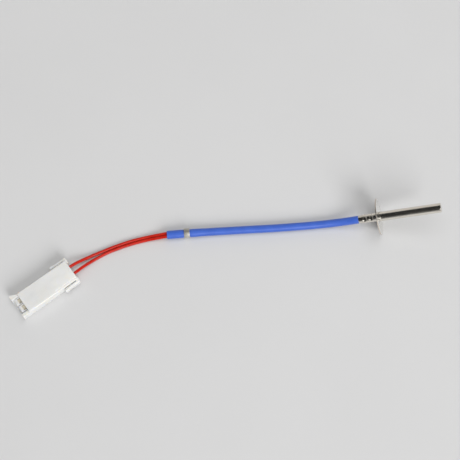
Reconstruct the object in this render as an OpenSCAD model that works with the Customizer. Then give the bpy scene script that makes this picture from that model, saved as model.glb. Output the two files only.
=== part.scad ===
// A probe thermistor with a flange, a sleeved two-wire lead and a plug-in connector.
// It lies on a level surface as it comes to rest, on the flange's edge, the sleeve and the
// connector. The origin is where the probe's axis meets the flange's seat, +Z is up, and
// the probe points along +X with its tip raised. Lengths are in millimetres.

/* [Probe tube] */
// Outer diameter of the sensing tube in front of the flange
tube_d = 5; // [4.9:0.1:6]
// Wall of the drawn tube, the same all the way along
tube_wall = 0.3; // [0.2:0.05:0.35]
// Length from the flange's seat to the closed tip
tube_len = 32.5; // [31:0.5:45]
// Radius of the corner round the closed tip
tip_corner = 0.6; // [0.4:0.1:1.2]
// Diameter of the shank behind the seat, which the flange is pressed on to
shank_d = 4.6; // [4.5:0.05:4.6]
// Length of the shank, from the seat to its taper
shank_len = 8.8; // [8.8:0.1:11]
// Length of the taper between shank and neck
taper_len = 0.7; // [0.4:0.1:1.5]
// Outer diameter of the swaged neck that the sleeve meets
neck_d = 4.2; // [4.1:0.05:4.4]
// Length of the swaged neck
neck_len = 1.5; // [1:0.1:3]
// Angle that the flange under it tips the probe up by
probe_pitch = 17; // [15:0.5:18]

/* [Crimps] */
// Distance from the seat back to the first crimp
crimp_set_back = 4.1; // [3.8:0.1:4.5]
// Distance between the crimps
crimp_pitch = 3.4; // [3:0.1:3.6]
// How many crimps hold the wires
crimp_count = 2; // [1:1:2]
// Radius of the bar that presses each crimp in
crimp_r = 1.1; // [0.8:0.1:1.2]
// Room that each crimp leaves over the wires
crimp_room = 0.1; // [0.05:0.05:0.3]

/* [Flange] */
// Outer diameter of the flange
flange_d = 19.2; // [16:0.2:21]
// Thickness of the flange's plate
flange_t = 0.6; // [0.5:0.1:1.2]
// Rounding of the flange's rim
flange_edge = 0.2; // [0.1:0.05:0.25]
// Radius that the plate turns into its collar with, round the hole
collar_turn = 0.4; // [0.3:0.05:0.5]
// Wall of the collar behind the plate
collar_wall = 0.6; // [0.3:0.1:1]
// Length of the collar behind the plate
collar_len = 1; // [0.6:0.1:1.4]
// Fillet between collar and plate
collar_fillet = 0.4; // [0.2:0.1:0.6]

/* [Sensing element] */
// Diameter of the bead
bead_d = 2.4; // [2.3:0.1:3]
// Length of the bead
bead_len = 4; // [3:0.2:5]
// Gap between the bead and the inside of the tip
bead_room = 0.8; // [0.4:0.1:1.5]
// Diameter of each bare lead of the bead
lead_d = 0.3; // [0.2:0.05:0.4]
// Length of the leads from the bead to the splices
lead_len = 9.4; // [8:0.2:9.6]
// Outer diameter of the insulation on each lead
lead_cover_d = 0.7; // [0.6:0.05:0.8]
// Room round a lead in its insulation
lead_room = 0.03; // [0.02:0.01:0.05]

/* [Splices] */
// Outer diameter of each splice ferrule
splice_d = 1.3; // [1.1:0.05:1.4]
// Length of each splice ferrule
splice_len = 4.5; // [4:0.1:5]
// Length of bare conductor between the wire's insulation and the ferrule
strip_len = 1.5; // [1:0.1:2]
// Wall of the shrunk cover over each splice
splice_cover_wall = 0.1; // [0.06:0.02:0.14]
// How far each cover runs past the ferrule and on to the wire
splice_cover_grip = 2; // [1.5:0.1:2.5]
// Room between a conductor or lead and the ferrule round it
splice_room = 0.01; // [0.01:0.01:0.03]
// Distance from the seat forward to the rear face of the potting
potting_set_in = 1.5; // [1:0.1:3]

/* [Wires and sleeve] */
// Diameter of each insulated wire
wire_d = 1.6; // [1.4:0.05:1.6]
// Diameter of the conductor in each wire
core_d = 0.8; // [0.6:0.05:1]
// Gap between the two wires in the sleeve
wire_gap = 0.06; // [0.04:0.01:0.08]
// Outer diameter of the sleeve over the wires
sleeve_d = 4.1; // [4:0.05:4.2]
// Wall of the sleeve
sleeve_wall = 0.3; // [0.2:0.02:0.3]

/* [Clamp band] */
// Width of the metal band round the end of the sleeve
band_w = 3; // [2:0.2:5]
// Thickness of the band's strip
band_t = 0.35; // [0.2:0.05:0.4]
// Room between the band and the sleeve that it grips
band_room = 0; // [0:0.01:0.05]
// Angle of the stretch where the strip's ends overlap
band_lap = 110; // [60:5:180]
// Where the overlap starts, counted round the band
band_seam = 170; // [120:5:200]

/* [Connector] */
// Length of the housing
plug_l = 34; // [33.5:0.5:42]
// Width of the housing, without its latch arms
plug_w = 12; // [11.8:0.1:14]
// Height of the housing
plug_h = 6.8; // [6.6:0.1:8]
// Wall of the housing above and below
plug_wall = 0.8; // [0.6:0.05:0.9]
// Wall of the hood on the far side
far_wall = 1.3; // [1.1:0.05:1.35]
// Thicker wall on the keyed side
key_wall = 1.9; // [1.7:0.1:2]
// Depth of the keyway in the thicker wall
key_depth = 1; // [0.6:0.1:1.1]
// Height of the keyway
key_h = 1.6; // [1:0.1:2.4]
// Rounding of the housing's long edges
plug_corner = 0.5; // [0.3:0.05:0.6]
// How far the roof stands back from the mouth
roof_set_back = 4.1; // [3:0.1:5]
// Length of the wedge-shaped lug outside the far wall, at the mouth
lug_l = 4.4; // [3:0.1:6]
// How far the lug stands proud
lug_t = 1.7; // [0.6:0.1:2]
// Length of the lug's flat end, before its slope
lug_nose = 0.8; // [0.4:0.1:1.4]
// Height of the lug
lug_h = 4.4; // [3:0.1:5.2]
// Depth of the hood in front of the solid block
hood_depth = 12; // [10:0.5:13]
// Length of the step along the keyed top edge, from the wire end
step_l = 13; // [8:0.5:16]
// Width of the step
step_w = 1.2; // [0.8:0.1:1.4]
// Depth of the step
step_h = 0.6; // [0.3:0.1:0.9]

/* [Contact towers] */
// Distance between the two circuits
circuit_pitch = 4.2; // [4.1:0.05:4.4]
// How far the towers stand back from the mouth
tower_set_back = 1; // [0.8:0.1:2]
// Outer width of each tower
tower_w = 3.7; // [3.6:0.05:3.8]
// Height of each tower
tower_h = 3.8; // [3.6:0.05:4]
// Thickness of each tower's front wall
tower_front = 0.7; // [0.5:0.1:0.9]
// Side of the square entry for the mating pin
entry_w = 1.3; // [1:0.05:1.4]
// Thickness of the bar in front of each tower's window
window_bar = 1.5; // [1.2:0.1:1.8]
// Length of the window over each contact
window_l = 1.7; // [1:0.1:2.4]
// Width of the window over each contact
window_w = 3.1; // [2:0.1:3.2]
// Width of the rear cavity that each wire and its crimp pass through
cavity_w = 3.1; // [2.8:0.05:3.3]
// Height of the rear cavity
cavity_h = 3.4; // [3:0.1:4]
// Length of the inspection hatch under each crimp
hatch_l = 3; // [2:0.1:4]
// Width of the inspection hatch
hatch_w = 1.6; // [1:0.1:2.4]

/* [Latch arms] */
// Length of each sprung arm from the wire end
arm_l = 8.5; // [6:0.5:12]
// Thickness of each arm
arm_t = 1.2; // [0.9:0.05:1.3]
// Slot between arm and housing
arm_slot = 0.5; // [0.4:0.05:0.8]
// Height of each arm
arm_h = 3.6; // [3:0.1:5]
// Distance from the housing's top down to the arms' top
arm_drop = 1.1; // [0.7:0.1:1.2]
// Length of the root that joins arm and housing
arm_root = 1.4; // [1:0.1:2]
// How far in over the wire end each arm is rooted
arm_seat = 1.5; // [1:0.1:1.5]
// How far the far arm's root stands out past the wire end
far_reach = 1; // [0.3:0.1:1.2]
// How far the keyed side's root stands out past the wire end
key_reach = 0.4; // [0.3:0.1:1]
// How far the grip at the arm's free end stands proud
arm_grip = 0.3; // [0.1:0.05:0.5]

/* [Contacts] */
// Outer width and height of each contact's box
box_w = 2.3; // [2.1:0.05:2.4]
// Length of the box
box_l = 7; // [6:0.1:7.4]
// Thickness of the formed strip
strip_t = 0.25; // [0.15:0.05:0.3]
// Room at the sides and top of the box in its tower
box_room = 0.1; // [0.05:0.01:0.15]
// Length of the sloped link between the box and the conductor's barrel
link_l = 1.8; // [1.4:0.1:2.2]
// Width of the links between box and barrels
link_w = 1; // [0.7:0.05:1.2]
// Length of the barrel on the conductor
core_barrel_l = 2.4; // [1.6:0.1:3]
// Length of the barrel on the wire's insulation
wire_barrel_l = 2.3; // [1.6:0.1:3]
// Gap between the two barrels
barrel_gap = 1; // [0.8:0.1:1.4]
// Room between a barrel and what it holds
barrel_room = 0.01; // [0.01:0.01:0.03]

/* [Hidden] */
$fn = 64;

tube_r = tube_d / 2;
shank_r = shank_d / 2;
neck_r = neck_d / 2;
flange_r = flange_d / 2;
wire_r = wire_d / 2;
sleeve_r = sleeve_d / 2;
// A cut runs past the face that it opens by this much
over = 1;

// Stations along the probe's axis, counted from the seat towards the tip
neck_end = -(shank_len + taper_len + neck_len);
bead_back = tube_len - tube_wall - bead_room - bead_len;
splice_front = bead_back - lead_len;
splice_back = splice_front - splice_len;
wire_front = splice_back - strip_len;
cover_front = splice_front + splice_cover_grip;
cover_back = wire_front - splice_cover_grip;

// Level of the surface that the part lies on: the flange's rear rim touches it
floor_z = -((flange_r - flange_edge) * cos(probe_pitch)
            + (flange_t - flange_edge) * sin(probe_pitch) + flange_edge);

// Half the distance between the wires, in the sleeve and in the splices
pair_half = (wire_d + wire_gap) / 2;
cover_r = wire_r + splice_room + splice_cover_wall;
splice_half = cover_r + splice_room;

// Connector: its mouth's middle in plan, its heading, and where the circuits lie across it
plug_at = [-190.5, -39.1];
plug_yaw = 34.2;
hood_shift = (key_wall - far_wall) / 2;
circuit_y = [hood_shift + circuit_pitch / 2 + 0.15, hood_shift - circuit_pitch / 2 + 0.15];
circuit_z = plug_h / 2;
box_front = tower_set_back + tower_front + box_room;
box_back = box_front + box_l;
core_barrel_front = box_back + link_l;
core_barrel_back = core_barrel_front + core_barrel_l;
plug_strip_end = core_barrel_back + barrel_gap / 2;
wire_barrel_front = core_barrel_back + barrel_gap;

// Sleeve's route from the neck to the wires' end: x, y and height over the surface
sleeve_route = [
    [-18, 0, 3.75], [-22, -0.05, 2.85], [-28.5, -0.3, 2.2], [-35.5, -0.6, 2.05],
    [-44, -0.9, 2.05], [-53, -1.15, 2.05], [-62, -1.25, 2.05], [-71, -1.3, 2.05],
    [-80, -1.4, 2.05], [-88, -1.5, 2.1], [-94, -1.65, 2.3], [-98.6, -1.8, 2.45],
    [-104.6, -2, 2.45], [-112.1, -2.2, 2.4]
];
// The band sits on the straight stretch between these two points of the route
band_from = 11;

// Routes of the two wires between the sleeve and the connector, on the surface midway
wire_routes = [
    [[-116.4, -1.7, 1.8], [-121.2, -2.2, 1.1], [-126.3, -3.05, 0.8], [-131.6, -4.2, 0.8],
     [-136.9, -5.75, 0.8], [-141.3, -7.2, 0.8], [-145.5, -8.75, 0.8], [-149.7, -10.35, 0.9],
     [-153.9, -12.25, 1.4], [-157.6, -14.1, 2.3]],
    [[-116.4, -3.4, 1.8], [-121.4, -3.9, 1.1], [-126.6, -4.8, 0.8], [-131.9, -6.05, 0.8],
     [-137.1, -7.6, 0.8], [-141.5, -9.1, 0.8], [-145.7, -10.85, 0.8], [-149.7, -12.95, 0.9],
     [-153.6, -15.35, 1.4], [-157, -17.8, 2.3]]
];
// Straight lengths that a cord keeps where it leaves the probe and enters the connector
sleeve_lead_out = 2;
wire_lead_in = 2;

// Points in the part's own frame, from places along the probe and in the connector
function on_axis(s, across = 0) = [s * cos(probe_pitch), across, s * sin(probe_pitch)];
function over_floor(p) = [p[0], p[1], p[2] + floor_z];
function in_plug(along, across, up) = [
    plug_at[0] + along * cos(plug_yaw) - across * sin(plug_yaw),
    plug_at[1] + along * sin(plug_yaw) + across * cos(plug_yaw),
    up + floor_z
];

// Sweep of round sections along a route, with the sections kept upright
function unit(v) = v / norm(v);
function heading(path, i) = unit(path[min(i + 1, len(path) - 1)] - path[max(i - 1, 0)]);
function sideways(t) = unit(cross(t, [0, 0, 1]));
function section(path, i, r, sides) =
    let (t = heading(path, i), s = sideways(t), u = cross(s, t))
    [for (k = [0 : sides - 1]) path[i] + r * (cos(k * 360 / sides) * s + sin(k * 360 / sides) * u)];
function sections(path, r, sides) = [for (i = [0 : len(path) - 1]) each section(path, i, r, sides)];
function skin(rows, sides, base, flip) = [
    for (i = [0 : rows - 2], k = [0 : sides - 1])
        let (a = base + i * sides + k, b = base + i * sides + (k + 1) % sides)
        flip ? [b, a, a + sides, b + sides] : [a, b, b + sides, a + sides]
];
function offset_path(path, side) = [
    for (i = [0 : len(path) - 1]) path[i] + side * sideways(heading(path, i))
];

sleeve_path = concat(
    [on_axis(neck_end), on_axis(neck_end - sleeve_lead_out)],
    [for (p = sleeve_route) over_floor(p)]
);

function wire_path(i) =
    let (side = i == 0 ? 1 : -1)
    concat(
        [on_axis(wire_front, side * splice_half), on_axis(potting_set_in / 2, side * splice_half),
         on_axis(-collar_len - flange_t, side * pair_half)],
        offset_path(sleeve_path, side * pair_half),
        [for (p = wire_routes[i]) over_floor(p)],
        [for (x = [plug_l + wire_lead_in, plug_l, plug_strip_end]) in_plug(x, circuit_y[i], circuit_z)]
    );

module solid_cord(path, r, sides) {
    rows = len(path);
    polyhedron(
        points = sections(path, r, sides),
        faces = concat(
            skin(rows, sides, 0, false),
            [[for (k = [sides - 1 : -1 : 0]) k]],
            [[for (k = [0 : sides - 1]) (rows - 1) * sides + k]]
        )
    );
}

module hollow_cord(path, r, wall, sides) {
    rows = len(path);
    count = rows * sides;
    last = (rows - 1) * sides;
    ring = [for (k = [0 : sides - 1]) [k, (k + 1) % sides]];
    polyhedron(
        points = concat(sections(path, r, sides), sections(path, r - wall, sides)),
        faces = concat(
            skin(rows, sides, 0, false),
            skin(rows, sides, count, true),
            [for (e = ring) [e[1], e[0], e[0] + count, e[1] + count]],
            [for (e = ring) [e[0] + last, e[1] + last, e[1] + last + count, e[0] + last + count]]
        )
    );
}

// Along the probe: local Z runs to the tip and local X points down
module on_probe() {
    rotate([0, 90 - probe_pitch, 0]) children();
}

// In the connector: local X runs from the mouth to the wires
module on_plug() {
    translate([plug_at[0], plug_at[1], floor_z]) rotate([0, 0, plug_yaw]) children();
}

// Probe tube

module tube_half(inset) {
    corner = tube_r - tip_corner;
    polygon([
        [0, neck_end - (inset > 0 ? over : 0)],
        [neck_r - inset, neck_end - (inset > 0 ? over : 0)],
        [neck_r - inset, neck_end + neck_len],
        [shank_r - inset, -shank_len],
        [shank_r - inset, inset],
        [tube_r - inset, inset],
        [tube_r - inset, tube_len - tip_corner],
        [0, tube_len - tip_corner]
    ]);
    translate([0, tube_len - tip_corner - over]) square([corner, tip_corner + over - inset]);
    intersection() {
        translate([corner, tube_len - tip_corner]) circle(tip_corner - inset);
        translate([corner - over / 10, tube_len - tip_corner - over / 10]) square(tip_corner + over / 10);
    }
}

module crimp_bars(grow) {
    reach = tube_wall + wire_r + crimp_room + crimp_r;
    for (i = [0 : crimp_count - 1], side = [-1, 1])
        translate([side * reach, 0, -crimp_set_back - i * crimp_pitch])
            rotate([90, 0, 0]) cylinder(r = crimp_r + grow, h = 2 * shank_d, center = true);
}

module tube_bore() {
    difference() {
        rotate_extrude() tube_half(tube_wall);
        crimp_bars(tube_wall);
    }
}

module probe_tube() {
    color("#d9d6cf") on_probe() difference() {
        rotate_extrude() tube_half(0);
        crimp_bars(0);
        tube_bore();
    }
}

// Flange: a plate with a rounded rim and a drawn collar behind it

module flange_half() {
    rim = flange_r - flange_edge;
    difference() {
        translate([shank_r, -flange_t]) square([rim - shank_r, flange_t]);
        // The hole's edge turns in to the collar
        difference() {
            translate([shank_r, -collar_turn]) square([collar_turn, collar_turn + over]);
            translate([shank_r + collar_turn, -collar_turn]) circle(collar_turn);
        }
    }
    translate([rim - over / 10, flange_edge - flange_t])
        square([flange_edge + over / 10, flange_t - 2 * flange_edge]);
    for (y = [-flange_edge, flange_edge - flange_t]) translate([rim, y]) circle(flange_edge);
    translate([shank_r, -flange_t - collar_len])
        square([collar_wall, collar_len + flange_t - collar_turn]);
    translate([shank_r + collar_wall, -flange_t]) mirror([0, 1]) difference() {
        translate([-over / 10, -over / 10]) square(collar_fillet + over / 10);
        translate([collar_fillet, collar_fillet]) circle(collar_fillet);
    }
}

module flange() {
    color("#e4e4e2") on_probe() rotate_extrude() flange_half();
}

// Sensing element, its leads and splices, drawn along the probe's axis

lead_tail = splice_front - splice_len * 0.4;
core_nose = splice_back + splice_len * 0.45;

// A straight round rod on one circuit's line, from one station to another
module circuit_rod(side, r, from, to) {
    translate([0, side * splice_half, from]) cylinder(r = r, h = to - from);
}

module bead_shape() {
    translate([0, 0, bead_back]) cylinder(d = bead_d, h = bead_len - bead_d / 2);
    translate([0, 0, bead_back + bead_len - bead_d / 2]) sphere(d = bead_d);
}

module lead_shape(side) {
    circuit_rod(side, lead_d / 2, lead_tail, bead_back);
}

module lead_cover_shape(side) {
    circuit_rod(side, lead_cover_d / 2, splice_front + splice_cover_wall, bead_back - lead_cover_d);
}

module splice_cover_shape(side, r) {
    circuit_rod(side, r, cover_back, cover_front);
}

module thermistor_bead() {
    color("#3b2f2a") on_probe() bead_shape();
}

module bead_lead(side) {
    color("#c9c9c6") on_probe() lead_shape(side);
}

module lead_insulation(side) {
    color("#b8742a") on_probe() difference() {
        lead_cover_shape(side);
        circuit_rod(side, lead_d / 2 + lead_room, splice_front, bead_back);
    }
}

module splice(side) {
    color("#c8c3b4") on_probe() difference() {
        circuit_rod(side, splice_d / 2, splice_back, splice_front);
        circuit_rod(side, core_d / 2 + splice_room, splice_back - over, core_nose);
        circuit_rod(side, lead_d / 2 + splice_room, lead_tail, splice_front + over);
    }
}

module splice_cover(side) {
    color("#22201e") on_probe() difference() {
        splice_cover_shape(side, cover_r);
        circuit_rod(side, wire_r + splice_room, cover_back - over, cover_front + over);
    }
}

module probe_conductor(side) {
    color("#c07a4a") on_probe() circuit_rod(side, core_d / 2, wire_front, core_nose);
}

// Potting fills the tube from its rear face to the tip, round all that it holds
module potting() {
    color("#2b2b2e") on_probe() difference() {
        rotate_extrude() intersection() {
            tube_half(tube_wall);
            translate([0, potting_set_in]) square([tube_d, tube_len]);
        }
        bead_shape();
        for (side = [-1, 1]) {
            lead_shape(side);
            lead_cover_shape(side);
            splice_cover_shape(side, cover_r);
            circuit_rod(side, wire_r + splice_room, potting_set_in - over, cover_back + over);
        }
    }
}

// Lead: wires, sleeve and band

module wire(i) {
    color("#d21f1a") solid_cord(wire_path(i), wire_r, 8);
}

module sleeve() {
    color("#3f6fd8") hollow_cord(sleeve_path, sleeve_r, sleeve_wall, 12);
}

// The band stands on the sleeve's straight stretch, with local Z along it
module on_band() {
    from = sleeve_path[band_from + 2];
    to = sleeve_path[band_from + 3];
    along = unit(to - from);
    translate((from + to) / 2)
        rotate([0, acos(along[2]), atan2(along[1], along[0])])
            translate([0, 0, -band_w / 2]) children();
}

module clamp_band() {
    inner = sleeve_r + band_room;
    color("#b9b9b4") on_band() {
        rotate_extrude() translate([inner, 0]) square([band_t, band_w]);
        rotate([0, 0, band_seam]) rotate_extrude(angle = band_lap)
            translate([inner + band_t / 2, 0]) square([band_t, band_w]);
    }
}

// Connector

// Rectangle with rounded corners that stands on the axis, its middle at the origin across
module rounded(w, h, r) {
    translate([-w / 2, r]) square([w, h - 2 * r]);
    translate([r - w / 2, 0]) square([w - 2 * r, h]);
    for (x = [r - w / 2, w / 2 - r], y = [r, h - r]) translate([x, y]) circle(r, $fn = 32);
}

module bar(from, to, w, h, r) {
    translate([from, 0, 0]) rotate([90, 0, 90]) linear_extrude(to - from) rounded(w, h, r);
}

module block(from, to, across, w, bottom, h) {
    translate([from, across - w / 2, bottom]) cube([to - from, w, h]);
}

module contact_tower(i) {
    block(tower_set_back, hood_depth + over / 2, circuit_y[i], tower_w, circuit_z - tower_h / 2, tower_h);
}

module circuit_cuts(i) {
    box_hole = box_w + 2 * box_room;
    inner = tower_set_back + tower_front;
    // Where the contact's box lies, seated on the floor
    block(inner, box_back + box_room, circuit_y[i], box_hole, circuit_z - box_w / 2, box_w + box_room);
    // Where the barrels and the wire lie, open at the wire end
    block(box_back + box_room, plug_l + over, circuit_y[i], cavity_w, circuit_z - cavity_h / 2, cavity_h);
    // Entry for the mating pin, with a lead-in
    block(tower_set_back - over, inner + over, circuit_y[i], entry_w, circuit_z - entry_w / 2, entry_w);
    translate([tower_set_back, circuit_y[i], circuit_z]) rotate([0, 90, 0])
        cylinder(r1 = entry_w / 2 + tower_front / 2, r2 = entry_w / 2, h = tower_front / 2);
    // Window over the contact and hatch under the barrels
    window = tower_set_back + window_bar;
    hatch = core_barrel_front + link_l;
    window_top = (circuit_z + tower_h / 2 + plug_h - plug_wall) / 2;
    block(window, window + window_l, circuit_y[i], window_w, circuit_z, window_top - circuit_z);
    block(hatch, hatch + hatch_l, circuit_y[i], hatch_w, -over, circuit_z);
}

module latch_arm(reach) {
    outer = plug_w / 2 + arm_slot + arm_t;
    free_end = plug_l - arm_l;
    translate([0, 0, plug_h - arm_drop - arm_h]) linear_extrude(arm_h) polygon([
        [plug_l - arm_root, plug_w / 2 - arm_seat],
        [plug_l + reach, plug_w / 2 - arm_seat],
        [plug_l + reach, outer - arm_slot],
        [plug_l + reach - arm_slot, outer],
        [free_end + 3 * arm_grip + arm_t, outer],
        [free_end + arm_t, outer + arm_grip],
        [free_end, outer + arm_grip],
        [free_end - arm_grip, outer],
        [free_end, outer - arm_t],
        [plug_l - arm_root, outer - arm_t]
    ]);
}

// A lug outside the far wall, sloped towards the wire end
module lug() {
    side = plug_w / 2;
    translate([0, 0, (plug_h - lug_h) / 2]) linear_extrude(lug_h) polygon([
        [0, side - plug_wall / 2],
        [0, side + lug_t],
        [lug_nose, side + lug_t],
        [lug_l, side],
        [lug_l, side - plug_wall / 2]
    ]);
}

module hood_space() {
    w = plug_w - far_wall - key_wall;
    translate([-over, hood_shift, plug_wall]) rotate([90, 0, 90])
        linear_extrude(hood_depth + over) rounded(w, plug_h - 2 * plug_wall, plug_corner / 2);
    // Keyway in the thicker wall
    block(-over, hood_depth, -plug_w / 2 + key_wall, 2 * key_depth, circuit_z - key_h / 2, key_h);
}

module connector_housing() {
    color("#f4f4ef") on_plug() difference() {
        union() {
            difference() {
                bar(0, plug_l, plug_w, plug_h, plug_corner);
                hood_space();
                block(-over, roof_set_back, 0, plug_w + over, plug_h - plug_wall - plug_corner, plug_h);
            }
            for (i = [0, 1]) contact_tower(i);
            latch_arm(far_reach);
            mirror([0, 1, 0]) latch_arm(key_reach);
            lug();
        }
        for (i = [0, 1]) circuit_cuts(i);
        // Step along the keyed top edge
        block(plug_l - step_l, plug_l + over, -plug_w / 2, 2 * step_w, plug_h - step_h, plug_h);
    }
}

// Formed contact: an open box with a spring tongue, and two barrels behind it

module barrel(from, length, inner_r, slit) {
    translate([from, 0, 0]) rotate([0, 90, 0]) difference() {
        cylinder(r = inner_r + strip_t, h = length);
        translate([0, 0, -over]) cylinder(r = inner_r, h = length + 2 * over);
        translate([-inner_r - strip_t, 0, length / 2])
            rotate([0, 0, 45]) cube([slit, slit, length + 2 * over], center = true);
    }
}

// A strip seen from the side, as an outline of [along, up] points, with a width across
module side_strip(points, w) {
    translate([0, w / 2, 0]) rotate([90, 0, 0]) linear_extrude(w) polygon(points);
}

module terminal(i) {
    half = box_w / 2;
    hollow = box_w - 2 * strip_t;
    core_in = core_d / 2 + barrel_room;
    wire_in = wire_r + barrel_room;
    slot = 0.1;
    color("#c9a45a") on_plug() translate([0, circuit_y[i], circuit_z]) {
        difference() {
            block(box_front, box_back, 0, box_w, -half, box_w);
            block(box_front - over, box_back + over, 0, hollow, -hollow / 2, hollow);
            block(box_front - over, box_back + over, 0, slot, half - strip_t - over / 10, strip_t + over);
        }
        // Spring tongue, folded back from the front of the floor
        side_strip([
            [box_front, -half + strip_t / 2],
            [box_front + box_l * 0.35, -half + box_w * 0.4],
            [box_front + box_l * 0.65, -half + box_w * 0.3],
            [box_front + box_l * 0.65, -half + box_w * 0.3 - strip_t],
            [box_front + box_l * 0.35, -half + box_w * 0.4 - strip_t],
            [box_front + box_l * 0.2, -half + strip_t / 2]
        ], box_w - 4 * strip_t);
        // Links from the box to the barrels
        side_strip([
            [box_back - strip_t, -half],
            [box_back, -half],
            [core_barrel_front + strip_t, -core_in - strip_t],
            [core_barrel_front + strip_t, -core_in - strip_t / 2],
            [core_barrel_front, -core_in - strip_t / 8],
            [box_back, strip_t - half],
            [box_back - strip_t, strip_t - half]
        ], link_w);
        side_strip([
            [core_barrel_back - strip_t, -core_in - strip_t],
            [core_barrel_back, -core_in - strip_t],
            [plug_strip_end - strip_t, -wire_in - strip_t],
            [wire_barrel_front + strip_t, -wire_in - strip_t],
            [wire_barrel_front + strip_t, -wire_in - strip_t / 2],
            [wire_barrel_front, -wire_in - strip_t / 8],
            [plug_strip_end - strip_t / 2, -wire_in - strip_t / 8],
            [core_barrel_back, -core_in - strip_t / 8],
            [core_barrel_back - strip_t, -core_in - strip_t / 2]
        ], link_w);
        barrel(core_barrel_front, core_barrel_l, core_in, 2 * strip_t);
        barrel(wire_barrel_front, wire_barrel_l, wire_in, 4 * strip_t);
    }
}

module plug_conductor(i) {
    color("#c07a4a") on_plug() translate([core_barrel_front, circuit_y[i], circuit_z])
        rotate([0, 90, 0]) cylinder(d = core_d, h = plug_strip_end - core_barrel_front);
}

probe_tube();
flange();
potting();
thermistor_bead();
bead_lead(1);  // bead_lead_1
bead_lead(-1);  // bead_lead_2
lead_insulation(1);  // lead_insulation_1
lead_insulation(-1);  // lead_insulation_2
splice(1);  // splice_1
splice(-1);  // splice_2
splice_cover(1);  // splice_cover_1
splice_cover(-1);  // splice_cover_2
probe_conductor(1);  // probe_conductor_1
probe_conductor(-1);  // probe_conductor_2
wire(0);  // wire_1
wire(1);  // wire_2
sleeve();
clamp_band();
plug_conductor(0);  // plug_conductor_1
plug_conductor(1);  // plug_conductor_2
terminal(0);  // terminal_1
terminal(1);  // terminal_2
connector_housing();
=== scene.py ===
# Probe thermistor on its lead: a closed tube with a flange, a blue sleeve with a clamp band,
# two red wires and a white connector. Metres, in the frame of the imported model.
import math

import bpy
from mathutils import Matrix, Vector


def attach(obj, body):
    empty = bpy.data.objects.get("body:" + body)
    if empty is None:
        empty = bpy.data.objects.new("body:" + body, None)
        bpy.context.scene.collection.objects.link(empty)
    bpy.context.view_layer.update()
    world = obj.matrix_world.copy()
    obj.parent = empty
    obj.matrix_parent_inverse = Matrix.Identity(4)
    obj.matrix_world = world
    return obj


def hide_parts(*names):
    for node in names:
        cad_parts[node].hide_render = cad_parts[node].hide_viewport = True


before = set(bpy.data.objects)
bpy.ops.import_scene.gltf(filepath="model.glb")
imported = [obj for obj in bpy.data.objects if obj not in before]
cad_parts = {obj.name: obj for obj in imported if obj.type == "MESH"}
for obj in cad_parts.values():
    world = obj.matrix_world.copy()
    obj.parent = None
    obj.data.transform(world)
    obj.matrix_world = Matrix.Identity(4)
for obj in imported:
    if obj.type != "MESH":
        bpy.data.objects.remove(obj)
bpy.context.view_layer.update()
print("frame loaded,", len(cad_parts), "nodes")

bpy.context.scene.view_settings.view_transform = "Standard"

# Where things stand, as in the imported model
place = {
    "pitch": math.radians(17),  # the probe leans up by this, tip towards +X
    "floor": -0.0093062,
    "plugAt": (-0.1905, -0.0391),
    "plugTurn": math.radians(34.2),
}
probeFrame = Matrix.Rotation(math.radians(90) - place["pitch"], 4, "Y")
plugFrame = (Matrix.Translation((*place["plugAt"], place["floor"]))
             @ Matrix.Rotation(place["plugTurn"], 4, "Z"))


def onAxis(along, across=0.0):
    return probeFrame @ Vector((0, across, along))


def inPlug(along, across, up):
    return plugFrame @ Vector((along, across, up))


def overFloor(points):
    return [Vector((x, y, z + place["floor"])) for x, y, z in points]


# Camera

camera = {
    "at": (-0.0883, -0.19082, 0.54478),
    "aboveHorizon": 71.0,
    "turn": -2.9,
    "lens": 86.09,
    "sensor": 36,
    "clip": (0.01, 30),
}


def addCamera(s):
    tilt = math.radians(90 - s["aboveHorizon"])
    bpy.ops.object.camera_add(location=s["at"], rotation=(tilt, 0, math.radians(s["turn"])))
    cam = bpy.context.object
    cam.name = "photoCamera"
    cam.data.lens = s["lens"]
    cam.data.sensor_width = s["sensor"]
    cam.data.clip_start, cam.data.clip_end = s["clip"]
    bpy.context.scene.camera = cam


addCamera(camera)


# Small helpers for working by operators

def selectOnly(*pieces):
    if bpy.context.object and bpy.context.object.mode != "OBJECT":
        bpy.ops.object.mode_set(mode="OBJECT")
    bpy.ops.object.select_all(action="DESELECT")
    for piece in pieces:
        piece.select_set(True)
        bpy.context.view_layer.objects.active = piece


def editAll(piece):
    selectOnly(piece)
    bpy.ops.object.mode_set(mode="EDIT")
    bpy.ops.mesh.select_all(action="SELECT")


def leaveEdit():
    bpy.ops.object.mode_set(mode="OBJECT")


def pick(piece, test):
    # selects the vertices that pass the test, and stays in edit mode
    editAll(piece)
    bpy.ops.mesh.select_mode(type="VERT")
    bpy.ops.mesh.select_all(action="DESELECT")
    leaveEdit()
    for vertex in piece.data.vertices:
        vertex.select = test(vertex)
    bpy.ops.object.mode_set(mode="EDIT")


def addModifier(piece, kind, **settings):
    selectOnly(piece)
    modifier = piece.modifiers.new(kind.lower(), kind)
    for key, value in settings.items():
        setattr(modifier, key, value)
    bpy.ops.object.modifier_apply(modifier=modifier.name)


def addBevel(piece, width, segments, sharp, **settings):
    addModifier(piece, "BEVEL", width=width, segments=segments, limit_method="ANGLE",
                angle_limit=math.radians(sharp), **settings)


def addWall(piece, thickness):
    addModifier(piece, "SOLIDIFY", thickness=thickness, offset=-1, use_rim=True)


def settle(piece, frameMatrix=None):
    # puts the piece in its place and keeps the place in the mesh
    selectOnly(piece)
    if frameMatrix is not None:
        piece.matrix_world = frameMatrix @ piece.matrix_world
    bpy.ops.object.transform_apply(location=True, rotation=True, scale=True)


def tidyNormals(piece, weld=0.000001):
    editAll(piece)
    bpy.ops.mesh.remove_doubles(threshold=weld)
    bpy.ops.mesh.normals_make_consistent(inside=False)
    leaveEdit()


def smooth(piece, angle=40):
    selectOnly(piece)
    bpy.ops.object.shade_smooth_by_angle(angle=math.radians(angle))


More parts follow.
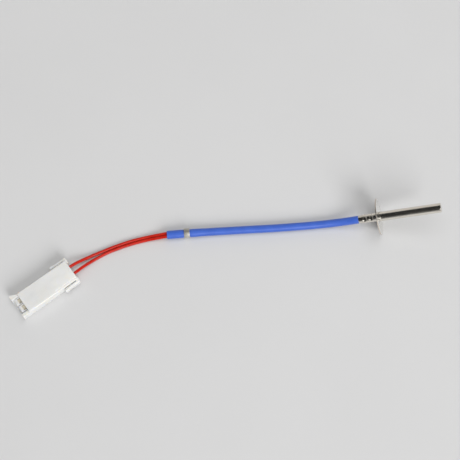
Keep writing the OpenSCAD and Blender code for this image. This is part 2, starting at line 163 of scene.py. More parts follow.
def arcRings(centreR, centreZ, radius, start, end, steps):
    # (radius, height) pairs round a corner, angles in degrees from straight out
    rings = []
    for i in range(steps + 1):
        a = math.radians(start + (end - start) * i / steps)
        rings.append((centreR + radius * math.cos(a), centreZ + radius * math.sin(a)))
    return rings


def turned(name, rings, sides):
    # a circle extruded and scaled from ring to ring, as on a lathe
    selectOnly()
    radius, height = rings[0]
    bpy.ops.mesh.primitive_circle_add(vertices=sides, radius=radius, location=(0, 0, height))
    piece = bpy.context.object
    piece.name = name
    bpy.ops.object.mode_set(mode="EDIT")
    for (lastR, lastZ), (r, z) in zip(rings, rings[1:]):
        bpy.ops.mesh.extrude_region_move(TRANSFORM_OT_translate={"value": (0, 0, z - lastZ)})
        bpy.ops.transform.resize(value=(r / lastR, r / lastR, 1), center_override=(0, 0, z))
    leaveEdit()
    settle(piece)
    return piece


# Cords first: the sleeve and the two wires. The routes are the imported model's, in metres.

sleeveValues = {
    "radius": 0.00205, "wall": 0.0003, "length": 0.1016, "sides": 48, "steps": 14,
    "start": -0.011, "straight": 0.002,  # along the probe's axis, at the neck
    "pinch": 0.00004, "pinchReach": 0.0016,  # pressed in by the band, up to this far from its middle
    "flare": 0.00017, "flareRise": 0.0012, "flareCurve": 0.7,  # wider beside the band
    "fadeFrom": 0.0028, "fadeOver": 0.006,  # the flare runs out here, towards the probe
    "girth": 12.9,  # millimetres round, for the pattern
    "tones": ((0.042, 0.119, 0.535), (0.050, 0.133, 0.57)), "mark": (0.16, 0.26, 0.66),
    "roughness": 0.36, "specular": 0.5,
}
wireValues = {
    "radius": 0.0008, "length": 0.2, "sides": 28, "steps": 10,
    "splicedAt": (0.012, 0.00075), "splicedAcross": 0.00092,  # along and beside the probe's axis
    "pairedAt": -0.0016, "pairedAcross": 0.00083,
    "inHousing": (0.036, 0.034, 0.0135),  # behind the connector's mouth
    "circuitAcross": (0.00255, -0.00165), "circuitUp": 0.0034,
    "girth": 5.03,
    "tones": ((0.50, 0.013, 0.004), (0.55, 0.018, 0.007)), "mark": (0.62, 0.09, 0.06),
    "roughness": 0.27, "specular": 0.25,
}

sleeveRoute = [
    (-0.018, 0, 0.00375), (-0.022, -0.00005, 0.00285), (-0.0285, -0.0003, 0.0022),
    (-0.0355, -0.0006, 0.00205), (-0.044, -0.0009, 0.00205), (-0.053, -0.00115, 0.00205),
    (-0.062, -0.00125, 0.00205), (-0.071, -0.0013, 0.00205), (-0.080, -0.0014, 0.00205),
    (-0.088, -0.0015, 0.0021), (-0.094, -0.00165, 0.0023), (-0.0986, -0.0018, 0.00245),
    (-0.1046, -0.002, 0.00245), (-0.1121, -0.0022, 0.0024),
]
wireRoutes = [
    [(-0.1164, -0.0017, 0.0018), (-0.1212, -0.0022, 0.0011), (-0.1263, -0.00305, 0.0008),
     (-0.1316, -0.0042, 0.0008), (-0.1369, -0.00575, 0.0008), (-0.1413, -0.0072, 0.0008),
     (-0.1455, -0.00875, 0.0008), (-0.1497, -0.01035, 0.0009), (-0.1539, -0.01225, 0.0014),
     (-0.1576, -0.0141, 0.0023)],
    [(-0.1164, -0.0034, 0.0018), (-0.1214, -0.0039, 0.0011), (-0.1266, -0.0048, 0.0008),
     (-0.1319, -0.00605, 0.0008), (-0.1371, -0.0076, 0.0008), (-0.1415, -0.0091, 0.0008),
     (-0.1457, -0.01085, 0.0008), (-0.1497, -0.01295, 0.0009), (-0.1536, -0.01535, 0.0014),
     (-0.157, -0.0178, 0.0023)],
]
neckEnd = onAxis(sleeveValues["start"])
sleevePath = [neckEnd, onAxis(sleeveValues["start"] - sleeveValues["straight"])] + overFloor(sleeveRoute)

# The band stands on the straight stretch between this point of the sleeve's route and the next
bandPoint = 11
bandFrom, bandTo = overFloor(sleeveRoute[bandPoint:bandPoint + 2])
bandMiddle = (bandFrom + bandTo) / 2
bandAlong = (bandTo - bandFrom).normalized()


def besidePath(path, side):
    beside = []
    for i, point in enumerate(path):
        heading = path[min(i + 1, len(path) - 1)] - path[max(i - 1, 0)]
        beside.append(point + side * heading.cross(Vector((0, 0, 1))).normalized())
    return beside


def wirePath(i, s):
    side = 1 - 2 * i
    inProbe = [onAxis(along, side * s["splicedAcross"]) for along in s["splicedAt"]]
    inProbe.append(onAxis(s["pairedAt"], side * s["pairedAcross"]))
    inSleeve = besidePath(sleevePath, side * s["pairedAcross"])
    inHousing = [inPlug(along, s["circuitAcross"][i], s["circuitUp"]) for along in s["inHousing"]]
    return inProbe + inSleeve + overFloor(wireRoutes[i]) + inHousing


def tubeAlong(name, path, s):
    curve = bpy.data.curves.new(name, "CURVE")
    curve.dimensions = "3D"
    curve.resolution_u = s["steps"]
    curve.bevel_depth = s["radius"]
    curve.bevel_resolution = s["sides"] // 2 - 2
    spline = curve.splines.new("BEZIER")
    spline.bezier_points.add(len(path) - 1)
    for knot, point in zip(spline.bezier_points, path):
        knot.co = point
        knot.handle_left_type = knot.handle_right_type = "AUTO"
    piece = bpy.data.objects.new(name, curve)
    bpy.context.collection.objects.link(piece)
    selectOnly(piece)
    bpy.ops.object.convert(target="MESH")
    piece = bpy.context.object
    editAll(piece)
    bpy.ops.mesh.normals_make_consistent(inside=False)
    leaveEdit()
    return piece


def makeSleeve(s):
    piece = tubeAlong("blueSleeve", sleevePath, s)
    # the band presses it in, and it is a little wider on both sides of the band, up to its end
    across = bandAlong.cross(Vector((0, 0, 1))).normalized()
    for vertex in piece.data.vertices:
        along = (vertex.co - bandMiddle).dot(bandAlong)
        if along < -s["fadeFrom"] - s["fadeOver"]:
            continue
        out = (vertex.co - bandMiddle - along * bandAlong).normalized()
        beyond = abs(along) - s["pinchReach"]
        if beyond < 0:
            vertex.co -= out * s["pinch"]
        else:
            fade = 1 if along > 0 else max(0, 1 - (-along - s["fadeFrom"]) / s["fadeOver"])
            swell = s["flare"] * min(1, beyond / s["flareRise"], fade) ** s["flareCurve"]
            vertex.co += across * swell * out.dot(across)
    addWall(piece, s["wall"])
    smooth(piece, angle=35)
    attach(piece, "root")
    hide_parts("sleeve")
    return piece


def makeWire(i, s):
    path = wirePath(i, s)
    piece = tubeAlong("redWire" + str(i + 1), path, s)
    # the open ends are closed
    selectOnly(piece)
    bpy.ops.object.mode_set(mode="EDIT")
    bpy.ops.mesh.select_mode(type="EDGE")
    bpy.ops.mesh.select_all(action="DESELECT")
    bpy.ops.mesh.select_non_manifold()
    bpy.ops.mesh.fill_holes(sides=0)
    bpy.ops.mesh.normals_make_consistent(inside=False)
    leaveEdit()
    smooth(piece, angle=35)
    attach(piece, "root")
    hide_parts("wire_" + str(i + 1))
    return piece, path


sleeve = makeSleeve(sleeveValues)
wires = [makeWire(i, wireValues) for i in (0, 1)]
print("cords made")


# Helpers for nodes

def feed(tree, value, socket):
    # an output is linked to the socket, and a number or a colour is set on it
    if isinstance(value, bpy.types.NodeSocket):
        tree.links.new(value, socket)
    elif socket.type == "RGBA":
        socket.default_value = (*value, 1)
    else:
        socket.default_value = value


def addMath(tree, operation, first, second):
    node = tree.nodes.new("ShaderNodeMath")
    node.operation = operation
    feed(tree, first, node.inputs[0])
    feed(tree, second, node.inputs[1])
    return node.outputs[0]


def addNoise(tree, vector, scale, detail, roughness):
    node = tree.nodes.new("ShaderNodeTexNoise")
    feed(tree, vector, node.inputs["Vector"])
    feed(tree, scale, node.inputs["Scale"])
    feed(tree, detail, node.inputs["Detail"])
    feed(tree, roughness, node.inputs["Roughness"])
    return node.outputs["Fac"]


def addMask(tree, value, low, high):
    # rises softly from 0 at the low value to 1 at the high one
    node = tree.nodes.new("ShaderNodeMapRange")
    node.interpolation_type = "SMOOTHSTEP"
    feed(tree, value, node.inputs["Value"])
    feed(tree, low, node.inputs["From Min"])
    feed(tree, high, node.inputs["From Max"])
    return node.outputs["Result"]


def stretch(tree, vector, scale):
    node = tree.nodes.new("ShaderNodeVectorMath")
    node.operation = "MULTIPLY"
    feed(tree, vector, node.inputs[0])
    feed(tree, scale, node.inputs[1])
    return node.outputs[0]


def addColours(tree, factor, first, second):
    node = tree.nodes.new("ShaderNodeMix")
    node.data_type = "RGBA"
    feed(tree, factor, node.inputs["Factor"])
    feed(tree, first, node.inputs["A"])
    feed(tree, second, node.inputs["B"])
    return node.outputs["Result"]


# Shared effects, as node groups

def startGroup(name, inputs, outputs):
    group = bpy.data.node_groups.new(name, "ShaderNodeTree")
    for label, value in inputs.items():
        kind = "NodeSocketVector" if value is None else "NodeSocketFloat"
        socket = group.interface.new_socket(label, in_out="INPUT", socket_type=kind)
        if value is not None:
            socket.default_value = value
    for label in outputs:
        group.interface.new_socket(label, in_out="OUTPUT", socket_type="NodeSocketFloat")
    given = group.nodes.new("NodeGroupInput").outputs
    put = group.nodes.new("NodeGroupOutput").inputs
    return group, given, put


def makeDrawnLines():
    # fine lines along local Z, left by drawing through a die, with faint rubbed patches
    group, given, put = startGroup(
        "drawnLines", {"Vector": None, "Line Scale": 9.0, "Rub Scale": 0.35},
        ("Height", "Lines", "Rub"))
    lines = addNoise(group, stretch(group, given["Vector"], (1, 1, 0.02)), given["Line Scale"],
                     detail=3, roughness=0.6)
    rub = addNoise(group, stretch(group, given["Vector"], (1, 1, 0.35)), given["Rub Scale"],
                   detail=4, roughness=0.6)
    feed(group, lines, put["Height"])
    feed(group, addMask(group, lines, 0.35, 0.65), put["Lines"])
    feed(group, addMask(group, rub, 0.42, 0.66), put["Rub"])
    return group


def makeTurnedRings():
    # concentric marks round local Z, from turning or pressing
    group, given, put = startGroup(
        "turnedRings", {"Vector": None, "Ring Scale": 6.0, "Rub Scale": 0.4},
        ("Height", "Rub", "Far"))
    length = group.nodes.new("ShaderNodeVectorMath")
    length.operation = "LENGTH"
    feed(group, stretch(group, given["Vector"], (1, 1, 0)), length.inputs[0])
    far = group.nodes.new("ShaderNodeCombineXYZ")
    feed(group, length.outputs["Value"], far.inputs[0])
    feed(group, length.outputs["Value"], put["Far"])
    rings = addNoise(group, far.outputs[0], given["Ring Scale"], detail=4, roughness=0.7)
    rub = addNoise(group, given["Vector"], given["Rub Scale"], detail=4, roughness=0.6)
    feed(group, rings, put["Height"])
    feed(group, addMask(group, rub, 0.4, 0.68), put["Rub"])
    return group


def makeMouldedSkin():
    # very fine grain of a moulding tool, slow flow shading and specks of dust
    group, given, put = startGroup(
        "mouldedSkin", {"Vector": None, "Grain Scale": 14.0, "Flow Scale": 0.18},
        ("Height", "Flow", "Dust"))
    grain = addNoise(group, given["Vector"], given["Grain Scale"], detail=3, roughness=0.6)
    flow = addNoise(group, stretch(group, given["Vector"], (0.5, 1, 1)), given["Flow Scale"],
                    detail=3, roughness=0.55)
    dust = addNoise(group, given["Vector"], 3.1, detail=5, roughness=0.7)
    feed(group, grain, put["Height"])
    feed(group, addMask(group, flow, 0.35, 0.65), put["Flow"])
    feed(group, addMask(group, dust, 0.64, 0.72), put["Dust"])
    return group


def makeExtrudedPlastic():
    # long faint lines along a cord, a fine grain and handling marks.
    # Along and Around are in millimetres, from the cord's own UV map.
    group, given, put = startGroup(
        "extrudedPlastic", {"Along": 0.0, "Around": 0.0, "Vector": None},
        ("Height", "Tone", "Marks"))
    flat = group.nodes.new("ShaderNodeCombineXYZ")
    feed(group, addMath(group, "MULTIPLY", given["Along"], 0.04), flat.inputs[0])
    feed(group, given["Around"], flat.inputs[1])
    lines = addNoise(group, flat.outputs[0], 2.4, detail=3, roughness=0.55)
    grain = addNoise(group, given["Vector"], 11, detail=2, roughness=0.5)
    tone = addNoise(group, given["Vector"], 0.22, detail=3, roughness=0.6)
    marks = addNoise(group, given["Vector"], 1.1, detail=5, roughness=0.75)
    feed(group, addMath(group, "ADD", lines, addMath(group, "MULTIPLY", grain, 0.35)), put["Height"])
    feed(group, addMask(group, tone, 0.35, 0.65), put["Tone"])
    feed(group, addMask(group, marks, 0.6, 0.72), put["Marks"])
    return group


drawnLines = makeDrawnLines()
turnedRings = makeTurnedRings()
mouldedSkin = makeMouldedSkin()
extrudedPlastic = makeExtrudedPlastic()
print("shared effects made")


# Materials. The values that they read are in the dictionary of each piece.

alongProbe = (0, place["pitch"] - math.radians(90), 0)
alongPlug = (0, 0, -place["plugTurn"])


def startMaterial(name, **fixed):
    material = bpy.data.materials.new(name)
    material.use_nodes = True
    tree = material.node_tree
    shader = tree.nodes["Principled BSDF"]
    for label, value in fixed.items():
        feed(tree, value, shader.inputs[label.replace("_", " ")])
    return material, tree, shader


def millimetres(tree, turn=(0, 0, 0)):
    # Object coordinates in millimetres, turned to lie along the piece
    coordinates = tree.nodes.new("ShaderNodeTexCoord")
    mapping = tree.nodes.new("ShaderNodeMapping")
    mapping.inputs["Scale"].default_value = (1000, 1000, 1000)
    mapping.inputs["Rotation"].default_value = turn
    feed(tree, coordinates.outputs["Object"], mapping.inputs["Vector"])
    return mapping.outputs[0]


def placeGroup(tree, group, **values):
    node = tree.nodes.new("ShaderNodeGroup")
    node.node_tree = group
    for label, value in values.items():
        feed(tree, value, node.inputs[label.replace("_", " ")])
    return node.outputs


def finishSkin(tree, shader, colour, roughness, masks, height, bump):
    # the roughness grows with each mask, and bump is the height of the marks in metres
    feed(tree, colour, shader.inputs["Base Color"])
    for mask, amount in masks:
        roughness = addMath(tree, "ADD", addMath(tree, "MULTIPLY", mask, amount), roughness)
    feed(tree, roughness, shader.inputs["Roughness"])
    node = tree.nodes.new("ShaderNodeBump")
    feed(tree, bump, node.inputs["Distance"])
    feed(tree, height, node.inputs["Height"])
    feed(tree, node.outputs[0], shader.inputs["Normal"])


def drawnMetal(name, turn, s):
    material, tree, shader = startMaterial(name, Metallic=s["metallic"])
    skin = placeGroup(tree, drawnLines, Vector=millimetres(tree, turn),
                      Line_Scale=s["lineScale"], Rub_Scale=s["rubScale"])
    masks = [(skin["Rub"], s["rubAdds"])]
    if "linesAdd" in s:
        masks.append((skin["Lines"], s["linesAdd"]))
    finishSkin(tree, shader, addColours(tree, skin["Rub"], s["clean"], s["dull"]),
               s["roughness"], masks, skin["Height"], s["bump"])
    return material


def flangeMetal(s):
    material, tree, shader = startMaterial("pressedSteel", Metallic=s["metallic"])
    skin = placeGroup(tree, turnedRings, Vector=millimetres(tree, alongProbe),
                      Ring_Scale=s["ringScale"], Rub_Scale=s["rubScale"])
    faces = addColours(tree, skin["Rub"], s["clean"], s["dull"])
    rim = addMask(tree, skin["Far"], *s["rimFar"])
    finishSkin(tree, shader, addColours(tree, rim, faces, s["rimColour"]), s["roughness"],
               [(rim, s["rimAdds"]), (skin["Rub"], s["rubAdds"])], skin["Height"], s["bump"])
    return material


def mouldedPlastic(name, turn, s, **fixed):
    material, tree, shader = startMaterial(name, **fixed)
    skin = placeGroup(tree, mouldedSkin, Vector=millimetres(tree, turn),
                      Grain_Scale=s["grainScale"], Flow_Scale=s["flowScale"])
    colour = addColours(tree, skin["Flow"], s["clean"], s["dull"])
    if "dust" in s:
        dusty = addMath(tree, "MULTIPLY", skin["Dust"], s["dustShows"])
        colour = addColours(tree, dusty, colour, s["dust"])
    finishSkin(tree, shader, colour, s["roughness"], [(skin["Flow"], s["flowAdds"])],
               skin["Height"], s["bump"])
    return material


cordFinish = {"markShows": 0.25, "marksAdd": 0.15, "toneAdds": 0.05, "bump": 0.00001}


def cordPlastic(name, s, finish):
    material, tree, shader = startMaterial(name, Specular_IOR_Level=s["specular"])
    split = tree.nodes.new("ShaderNodeSeparateXYZ")
    feed(tree, tree.nodes.new("ShaderNodeUVMap").outputs[0], split.inputs[0])
    skin = placeGroup(tree, extrudedPlastic, Vector=millimetres(tree),
                      Along=addMath(tree, "MULTIPLY", split.outputs[0], 1000 * s["length"]),
                      Around=addMath(tree, "MULTIPLY", split.outputs[1], s["girth"]))
    toned = addColours(tree, skin["Tone"], *s["tones"])
    marks = addMath(tree, "MULTIPLY", skin["Marks"], finish["markShows"])
    finishSkin(tree, shader, addColours(tree, marks, toned, s["mark"]), s["roughness"],
               [(skin["Marks"], finish["marksAdd"]), (skin["Tone"], finish["toneAdds"])],
               skin["Height"], finish["bump"])
    return material


def dress(piece, material):
    piece.data.materials.clear()
    piece.data.materials.append(material)


wireMaterial = cordPlastic("redPlastic", wireValues, cordFinish)
dress(sleeve, cordPlastic("bluePlastic", sleeveValues, cordFinish))
for wire, path in wires:
    dress(wire, wireMaterial)


# Probe tube: drawn steel, closed at the tip, with a shank behind the flange and a crimped neck

tubeValues = {
    "radius": 0.0025, "shank": 0.0023, "neck": 0.0021, "wall": 0.0003, "sides": 96,
    "length": 0.0325, "corner": 0.0006, "dome": 0.00006, "tipRings": (0.85, 0.65, 0.45, 0.25, 0.1),
    "bodyFrom": 0.001, "bodyLength": 0.0309, "bodyRings": 24, "shoulder": 0.0001, "shoulderRing": 0.0004,
    "shankLength": 0.0088, "shankRings": 55, "taper": 0.0007, "taperEnd": (0.00004, 0.0001),
    "neckLength": 0.0015, "neckRings": (0.00007, 0.0007, 0.0012, 0.0015), "neckEdge": 0.00006,
    "crimps": (-0.0041, -0.0075), "crimpWidth": 0.0002, "crimpReach": 0.0015,
    "crimpFlat": 0.75, "crimpWide": 1.02,
    "clean": (0.79, 0.75, 0.68), "dull": (0.73, 0.69, 0.62), "metallic": 1.0,
    "lineScale": 12.0, "rubScale": 0.5, "roughness": 0.13, "rubAdds": 0.08, "linesAdd": 0.05,
    "bump": 0.0000012,
}


def makeProbeTube(s):
    tip = s["length"]
    back = -s["shankLength"] - s["taper"] - s["neckLength"]
    flat = s["radius"] - s["corner"]
    ease, easeLength = s["taperEnd"]
    rings = [(s["neck"] - s["neckEdge"], back)]
    rings += [(s["neck"], back + step) for step in s["neckRings"]]
    rings += [(s["shank"] - ease, -s["shankLength"] - easeLength)]
    rings += [(s["shank"], s["shankLength"] * (i / s["shankRings"] - 1)) for i in range(s["shankRings"])]
    rings += arcRings(s["radius"] - s["shoulder"], s["shoulder"], s["shoulder"], -90, 0, 4)
    rings += [(s["radius"], s["shoulderRing"])]
    rings += [(s["radius"], s["bodyFrom"] + s["bodyLength"] * i / s["bodyRings"])
              for i in range(s["bodyRings"] + 1)]
    rings += arcRings(flat, tip - s["corner"] - s["dome"], s["corner"], 5, 90, 10)
    rings += [(flat * k, tip - s["dome"] * k * k) for k in s["tipRings"]]
    piece = turned("probeTube", rings, s["sides"])
    # the tip is closed inside its last ring
    pick(piece, lambda vertex: vertex.co.xy.length < flat * 1.1 * s["tipRings"][-1])
    bpy.ops.mesh.edge_face_add()
    bpy.ops.mesh.poke()
    leaveEdit()
    tidyNormals(piece)
    # each crimp flattens the shank and spreads it a little
    for centre in s["crimps"]:
        pick(piece, lambda vertex: abs(vertex.co.z - centre) < s["crimpWidth"])
        bpy.ops.transform.resize(value=(s["crimpFlat"], s["crimpWide"], 1), center_override=(0, 0, centre),
                                 use_proportional_edit=True, proportional_edit_falloff="SMOOTH",
                                 proportional_size=s["crimpReach"])
        leaveEdit()
    addWall(piece, s["wall"])
    smooth(piece)
    settle(piece, probeFrame)
    dress(piece, drawnMetal("drawnSteel", alongProbe, s))
    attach(piece, "root")
    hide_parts("probe_tube")


makeProbeTube(tubeValues)
print("probe tube made")


# Flange: a thin round plate that turns in to a collar on the shank

flangeValues = {
    "radius": 0.0096, "thick": 0.0006, "edge": 0.0002, "hole": 0.0023, "turn": 0.0004, "fillet": 0.0004,
    "collarWall": 0.0006, "collarLength": 0.001, "collarEdge": 0.0001, "boreEdge": 0.00005,
    "boreRing": 0.0005, "faceRings": (0.0045, 0.0060, 0.0070), "turnRing": 0.0034, "sides": 128,
    "clean": (0.93, 0.925, 0.90), "dull": (0.86, 0.855, 0.83), "metallic": 1.0,
    "ringScale": 5.0, "rubScale": 0.4, "roughness": 0.24, "rubAdds": 0.1, "bump": 0.000005,
    # the edge ring, from and to so many millimetres from the axis, has a darker colour and a rougher
    # finish than the faces
    "rimFar": (9.42, 9.5), "rimColour": (0.70, 0.64, 0.57), "rimAdds": 0.25,
}


def makeFlange(s):
    back = -s["thick"]
    end = back - s["collarLength"]
    outer = s["hole"] + s["collarWall"] - s["collarEdge"]
    rings = [(s["hole"], end + s["boreEdge"]), (s["hole"] + s["boreEdge"], end)]
    rings += arcRings(outer, end + s["collarEdge"], s["collarEdge"], -90, 0, 4)
    rings += arcRings(outer + s["collarEdge"] + s["fillet"], back - s["fillet"], s["fillet"], 180, 90, 6)
    rings += [(r, back) for r in s["faceRings"]]
    rings += arcRings(s["radius"] - s["edge"], back + s["edge"], s["edge"], -90, 0, 6)
    rings += arcRings(s["radius"] - s["edge"], -s["edge"], s["edge"], 0, 90, 6)
    rings += [(r, 0) for r in reversed(s["faceRings"])] + [(s["turnRing"], 0)]
    rings += arcRings(s["hole"] + s["turn"], -s["turn"], s["turn"], 90, 180, 6)
    rings += [(s["hole"], back), (s["hole"], end + s["boreRing"]), (s["hole"], end + s["boreEdge"])]
    piece = turned("roundFlange", rings, s["sides"])
    tidyNormals(piece)
    smooth(piece)
    settle(piece, probeFrame)
    dress(piece, flangeMetal(s))
    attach(piece, "root")
    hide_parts("flange")


makeFlange(flangeValues)
print("flange made")


# Clamp band: a strip wound once round the sleeve, its end lying over its start

bandValues = {
    "inner": 0.00205, "thick": 0.00035, "wide": 0.003,
    "start": 280.0, "turn": 470.0, "step": 5.0, "climb": 30.0,  # degrees
    "clear": 1.03,  # the climb, as a share of the thickness
    "edge": 0.00006, "segments": 2, "sharp": 50.0,
    "clean": (0.70, 0.68, 0.63), "dull": (0.58, 0.56, 0.51), "metallic": 1.0,
    "lineScale": 4.0, "rubScale": 0.8, "roughness": 0.62, "rubAdds": 0.12, "bump": 0.000008,
}


def makeBand(s):
    selectOnly()
    bpy.ops.mesh.primitive_plane_add(size=1)
    piece = bpy.context.object
    piece.name = "clampBand"
    # the plane becomes the strip's end: thickness outwards, width along the cord
    editAll(piece)
    bpy.ops.transform.resize(value=(s["thick"], s["wide"], 1))
    bpy.ops.transform.rotate(value=math.radians(90), orient_axis="X", center_override=(0, 0, 0))
    bpy.ops.transform.translate(value=(s["inner"] + s["thick"] / 2, 0, 0))
    leaveEdit()
    piece.rotation_euler = (0, 0, math.radians(s["start"]))
    settle(piece)
    # wound backwards from the hidden end, climbing over it after one turn. With no window,
    # the rotate operator turns the other way, so the angle goes down.
    editAll(piece)
    angle = s["start"]
    lift = s["thick"] * s["clear"] * s["step"] / s["climb"]
    for i in range(int(s["turn"] / s["step"])):
        bpy.ops.mesh.extrude_region_move()
        bpy.ops.transform.rotate(value=math.radians(s["step"]), orient_axis="Z", center_override=(0, 0, 0))
        angle -= s["step"]
        if 360 - s["climb"] < (i + 1) * s["step"] <= 360:
            bpy.ops.transform.translate(value=(lift * math.cos(math.radians(angle)),
                                               lift * math.sin(math.radians(angle)), 0))
    leaveEdit()
    tidyNormals(piece)
    addBevel(piece, s["edge"], s["segments"], s["sharp"])
    smooth(piece)
    heading = Matrix.Rotation(math.atan2(bandAlong.y, bandAlong.x), 4, "Z")
    lean = Matrix.Rotation(math.acos(bandAlong.z), 4, "Y")
    settle(piece, Matrix.Translation(bandMiddle) @ heading @ lean)
    alongBand = tuple(bandAlong.to_track_quat("Z", "Y").inverted().to_euler())
    dress(piece, drawnMetal("rolledSteel", alongBand, s))
    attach(piece, "root")
    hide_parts("clamp_band")
    return piece


clampBand = makeBand(bandValues)
print("clamp band made")


# Connector and contacts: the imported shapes, merged and given the soft edges of real ones

housingValues = {
    "weld": 0.000002, "flat": 0.5, "edge": 0.00012, "segments": 2, "sharp": 32.0,
    "clean": (0.79, 0.79, 0.777), "dull": (0.755, 0.753, 0.733),
    "dust": (0.55, 0.52, 0.47), "dustShows": 0.2,
    "grainScale": 9.0, "flowScale": 0.16, "roughness": 0.42, "flowAdds": 0.08, "bump": 0.000012,
    "scatter": 0.9, "scatterColour": (1.0, 0.92, 0.78), "scatterLength": 0.0014,
}
contactValues = {
    "weld": 0.000002, "flat": 0.5, "edge": 0.00003, "segments": 1, "sharp": 40.0,
    "clean": (0.80, 0.75, 0.62), "dull": (0.72, 0.66, 0.52), "metallic": 0.4,
    "lineScale": 6.0, "rubScale": 1.2, "roughness": 0.5, "rubAdds": 0.15, "bump": 0.000006,
}


def softCopy(node, name, s):
    selectOnly(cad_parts[node])
    bpy.ops.object.duplicate(linked=False)
    piece = bpy.context.object
    piece.name = name
    for key in list(piece.keys()):
        if key.startswith("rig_"):
            del piece[key]
    piece.parent = None
    editAll(piece)
    bpy.ops.mesh.remove_doubles(threshold=s["weld"])
    bpy.ops.mesh.select_all(action="SELECT")
    bpy.ops.mesh.dissolve_limited(angle_limit=math.radians(s["flat"]))
    leaveEdit()
    addBevel(piece, s["edge"], s["segments"], s["sharp"], use_clamp_overlap=False)
    smooth(piece)
    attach(piece, "root")
    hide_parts(node)
    return piece


def housingPlastic(s):
    return mouldedPlastic("whiteNylon", alongPlug, s, Subsurface_Weight=s["scatter"],
                          Subsurface_Radius=s["scatterColour"], Subsurface_Scale=s["scatterLength"])


housing = softCopy("connector_housing", "connectorHousing", housingValues)
dress(housing, housingPlastic(housingValues))
contactMetal = drawnMetal("tinnedBrass", alongProbe, contactValues)
for i in (1, 2):
    contact = softCopy("terminal_" + str(i), "contact" + str(i), contactValues)
    dress(contact, contactMetal)
print("connector made")


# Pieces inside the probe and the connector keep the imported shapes

innerMetalValues = {"metallic": 1.0, "lineScale": 6.0, "rubScale": 1.2, "rubAdds": 0.15, "bump": 0.000006}
innerPlasticValues = {"grainScale": 6.0, "flowScale": 0.5, "flowAdds": 0.1, "bump": 0.00001}


def innerMetal(name, clean, dull, roughness, **other):
    look = {**innerMetalValues, "clean": clean, "dull": dull, "roughness": roughness, **other}
    return drawnMetal(name, alongProbe, look)


def innerPlastic(name, clean, dull, roughness):
    look = {**innerPlasticValues, "clean": clean, "dull": dull, "roughness": roughness}
    return mouldedPlastic(name, alongProbe, look)


conductorMetal = innerMetal("tinnedCopper", (0.72, 0.62, 0.54), (0.60, 0.42, 0.32), 0.3, lineScale=12.0)
# a name that ends with _ stands for the pieces 1 and 2
innerLooks = {
    "potting": innerPlastic("castResin", (0.030, 0.030, 0.034), (0.045, 0.044, 0.046), 0.3),
    "thermistor_bead": innerPlastic("coatedBead", (0.045, 0.028, 0.020), (0.07, 0.042, 0.03), 0.25),
    "bead_lead_": innerMetal("leadMetal", (0.66, 0.64, 0.60), (0.52, 0.50, 0.47), 0.28),
    "lead_insulation_": innerPlastic("amberFilm", (0.45, 0.16, 0.03), (0.38, 0.12, 0.02), 0.3),
    "splice_": innerMetal("ferruleMetal", (0.60, 0.58, 0.52), (0.48, 0.46, 0.40), 0.32),
    "splice_cover_": innerPlastic("shrunkCover", (0.022, 0.021, 0.021), (0.035, 0.034, 0.033), 0.45),
    "probe_conductor_": conductorMetal,
    "plug_conductor_": conductorMetal,
}
for key, look in innerLooks.items():
    for name in ([key + "1", key + "2"] if key.endswith("_") else [key]):
        dress(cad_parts[name], look)
print("inner pieces finished")


# Stage: floor, two lamps, and the dark card and the pale wall that bright metal reflects

studio = {
    "middle": (-0.08, 0, 0),
    "floorColours": ((0.6501, 0.6501, 0.65207), (0.66, 0.66, 0.662)), "floorSize": (6.0, 6.0),
    "floorRoughness": 0.6, "floorBump": 0.00002, "floorGap": 0.00002,
    "sky": 0.27, "skyColour": (1, 1, 0.995),
    "key": {"watts": 65.0, "from": (0.37, -0.71, 0.53), "far": 3.0, "size": 1.77},
    "top": {"watts": 6.7, "from": (0.08, 0.06, 0.99), "far": 1.2, "size": 1.3},
    "cardColour": (0.035, 0.035, 0.035), "cardSize": (2.6, 1.6), "cardAt": (-0.5, -0.44, 0.5),
    "wallColours": ((0.78, 0.76, 0.73), (0.8, 0.78, 0.75)),
    "wallSize": (3.2, 1.4), "wallAt": (0, 1.3, 0.5),
    "matt": 0.9,  # roughness of the card and the wall
}


def addPanel(name, size, at, tilt=0):
    selectOnly()
    bpy.ops.mesh.primitive_plane_add(size=1, location=at, rotation=(math.radians(tilt), 0, 0))
    piece = bpy.context.object
    piece.name = name
    piece.scale = (*size, 1)
    settle(piece)
    return piece


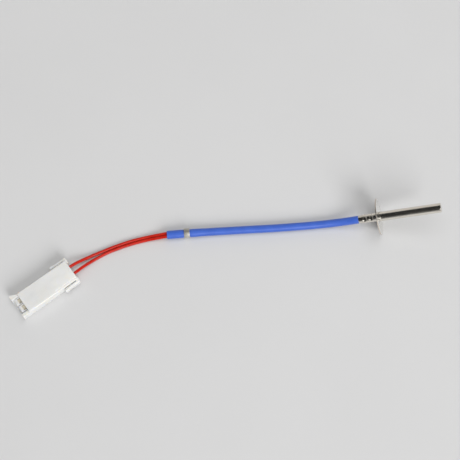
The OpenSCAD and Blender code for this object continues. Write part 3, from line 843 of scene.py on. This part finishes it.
def makeFloor(s):
    x, y, z = s["middle"]
    piece = addPanel("floor", s["floorSize"], (x, y, place["floor"] - s["floorGap"]))
    material, tree, shader = startMaterial("paleFloor")
    vector = millimetres(tree)
    tone = addMask(tree, addNoise(tree, vector, 0.012, detail=3, roughness=0.5), 0.3, 0.7)
    height = addNoise(tree, vector, 0.8, detail=3, roughness=0.5)
    finishSkin(tree, shader, addColours(tree, tone, *s["floorColours"]), s["floorRoughness"], [],
               height, s["floorBump"])
    dress(piece, material)


def makeCard(s):
    piece = addPanel("darkCard", s["cardSize"], s["cardAt"])
    dress(piece, startMaterial("darkCard", Roughness=s["matt"], Base_Color=s["cardColour"])[0])
    piece.visible_camera = False
    piece.visible_diffuse = False
    piece.visible_shadow = False
    piece.visible_transmission = False


def makeWall(s):
    piece = addPanel("paleWall", s["wallSize"], s["wallAt"], tilt=90)
    material, tree, shader = startMaterial("paleWall", Roughness=s["matt"])
    tone = addMask(tree, addNoise(tree, millimetres(tree), 0.004, detail=2, roughness=0.5), 0.3, 0.7)
    feed(tree, addColours(tree, tone, *s["wallColours"]), shader.inputs["Base Color"])
    dress(piece, material)


def addLamp(name, middle, s):
    direction = Vector(s["from"]).normalized()
    bpy.ops.object.light_add(type="AREA", location=Vector(middle) + direction * s["far"])
    lamp = bpy.context.object
    lamp.name = name
    lamp.rotation_euler = direction.to_track_quat("Z", "Y").to_euler()
    lamp.data.shape = "DISK"
    lamp.data.size = s["size"]
    lamp.data.energy = s["watts"]
    return lamp


def makeLights(s):
    addLamp("keyLight", s["middle"], s["key"])
    # the metal reflects the dark card and not the lamp over it
    addLamp("topLight", s["middle"], s["top"]).visible_glossy = False
    world = bpy.context.scene.world or bpy.data.worlds.new("world")
    bpy.context.scene.world = world
    world.use_nodes = True
    back = world.node_tree.nodes["Background"]
    feed(world.node_tree, s["skyColour"], back.inputs["Color"])
    feed(world.node_tree, s["sky"], back.inputs["Strength"])


makeFloor(studio)
makeCard(studio)
makeWall(studio)
makeLights(studio)
print("stage made")
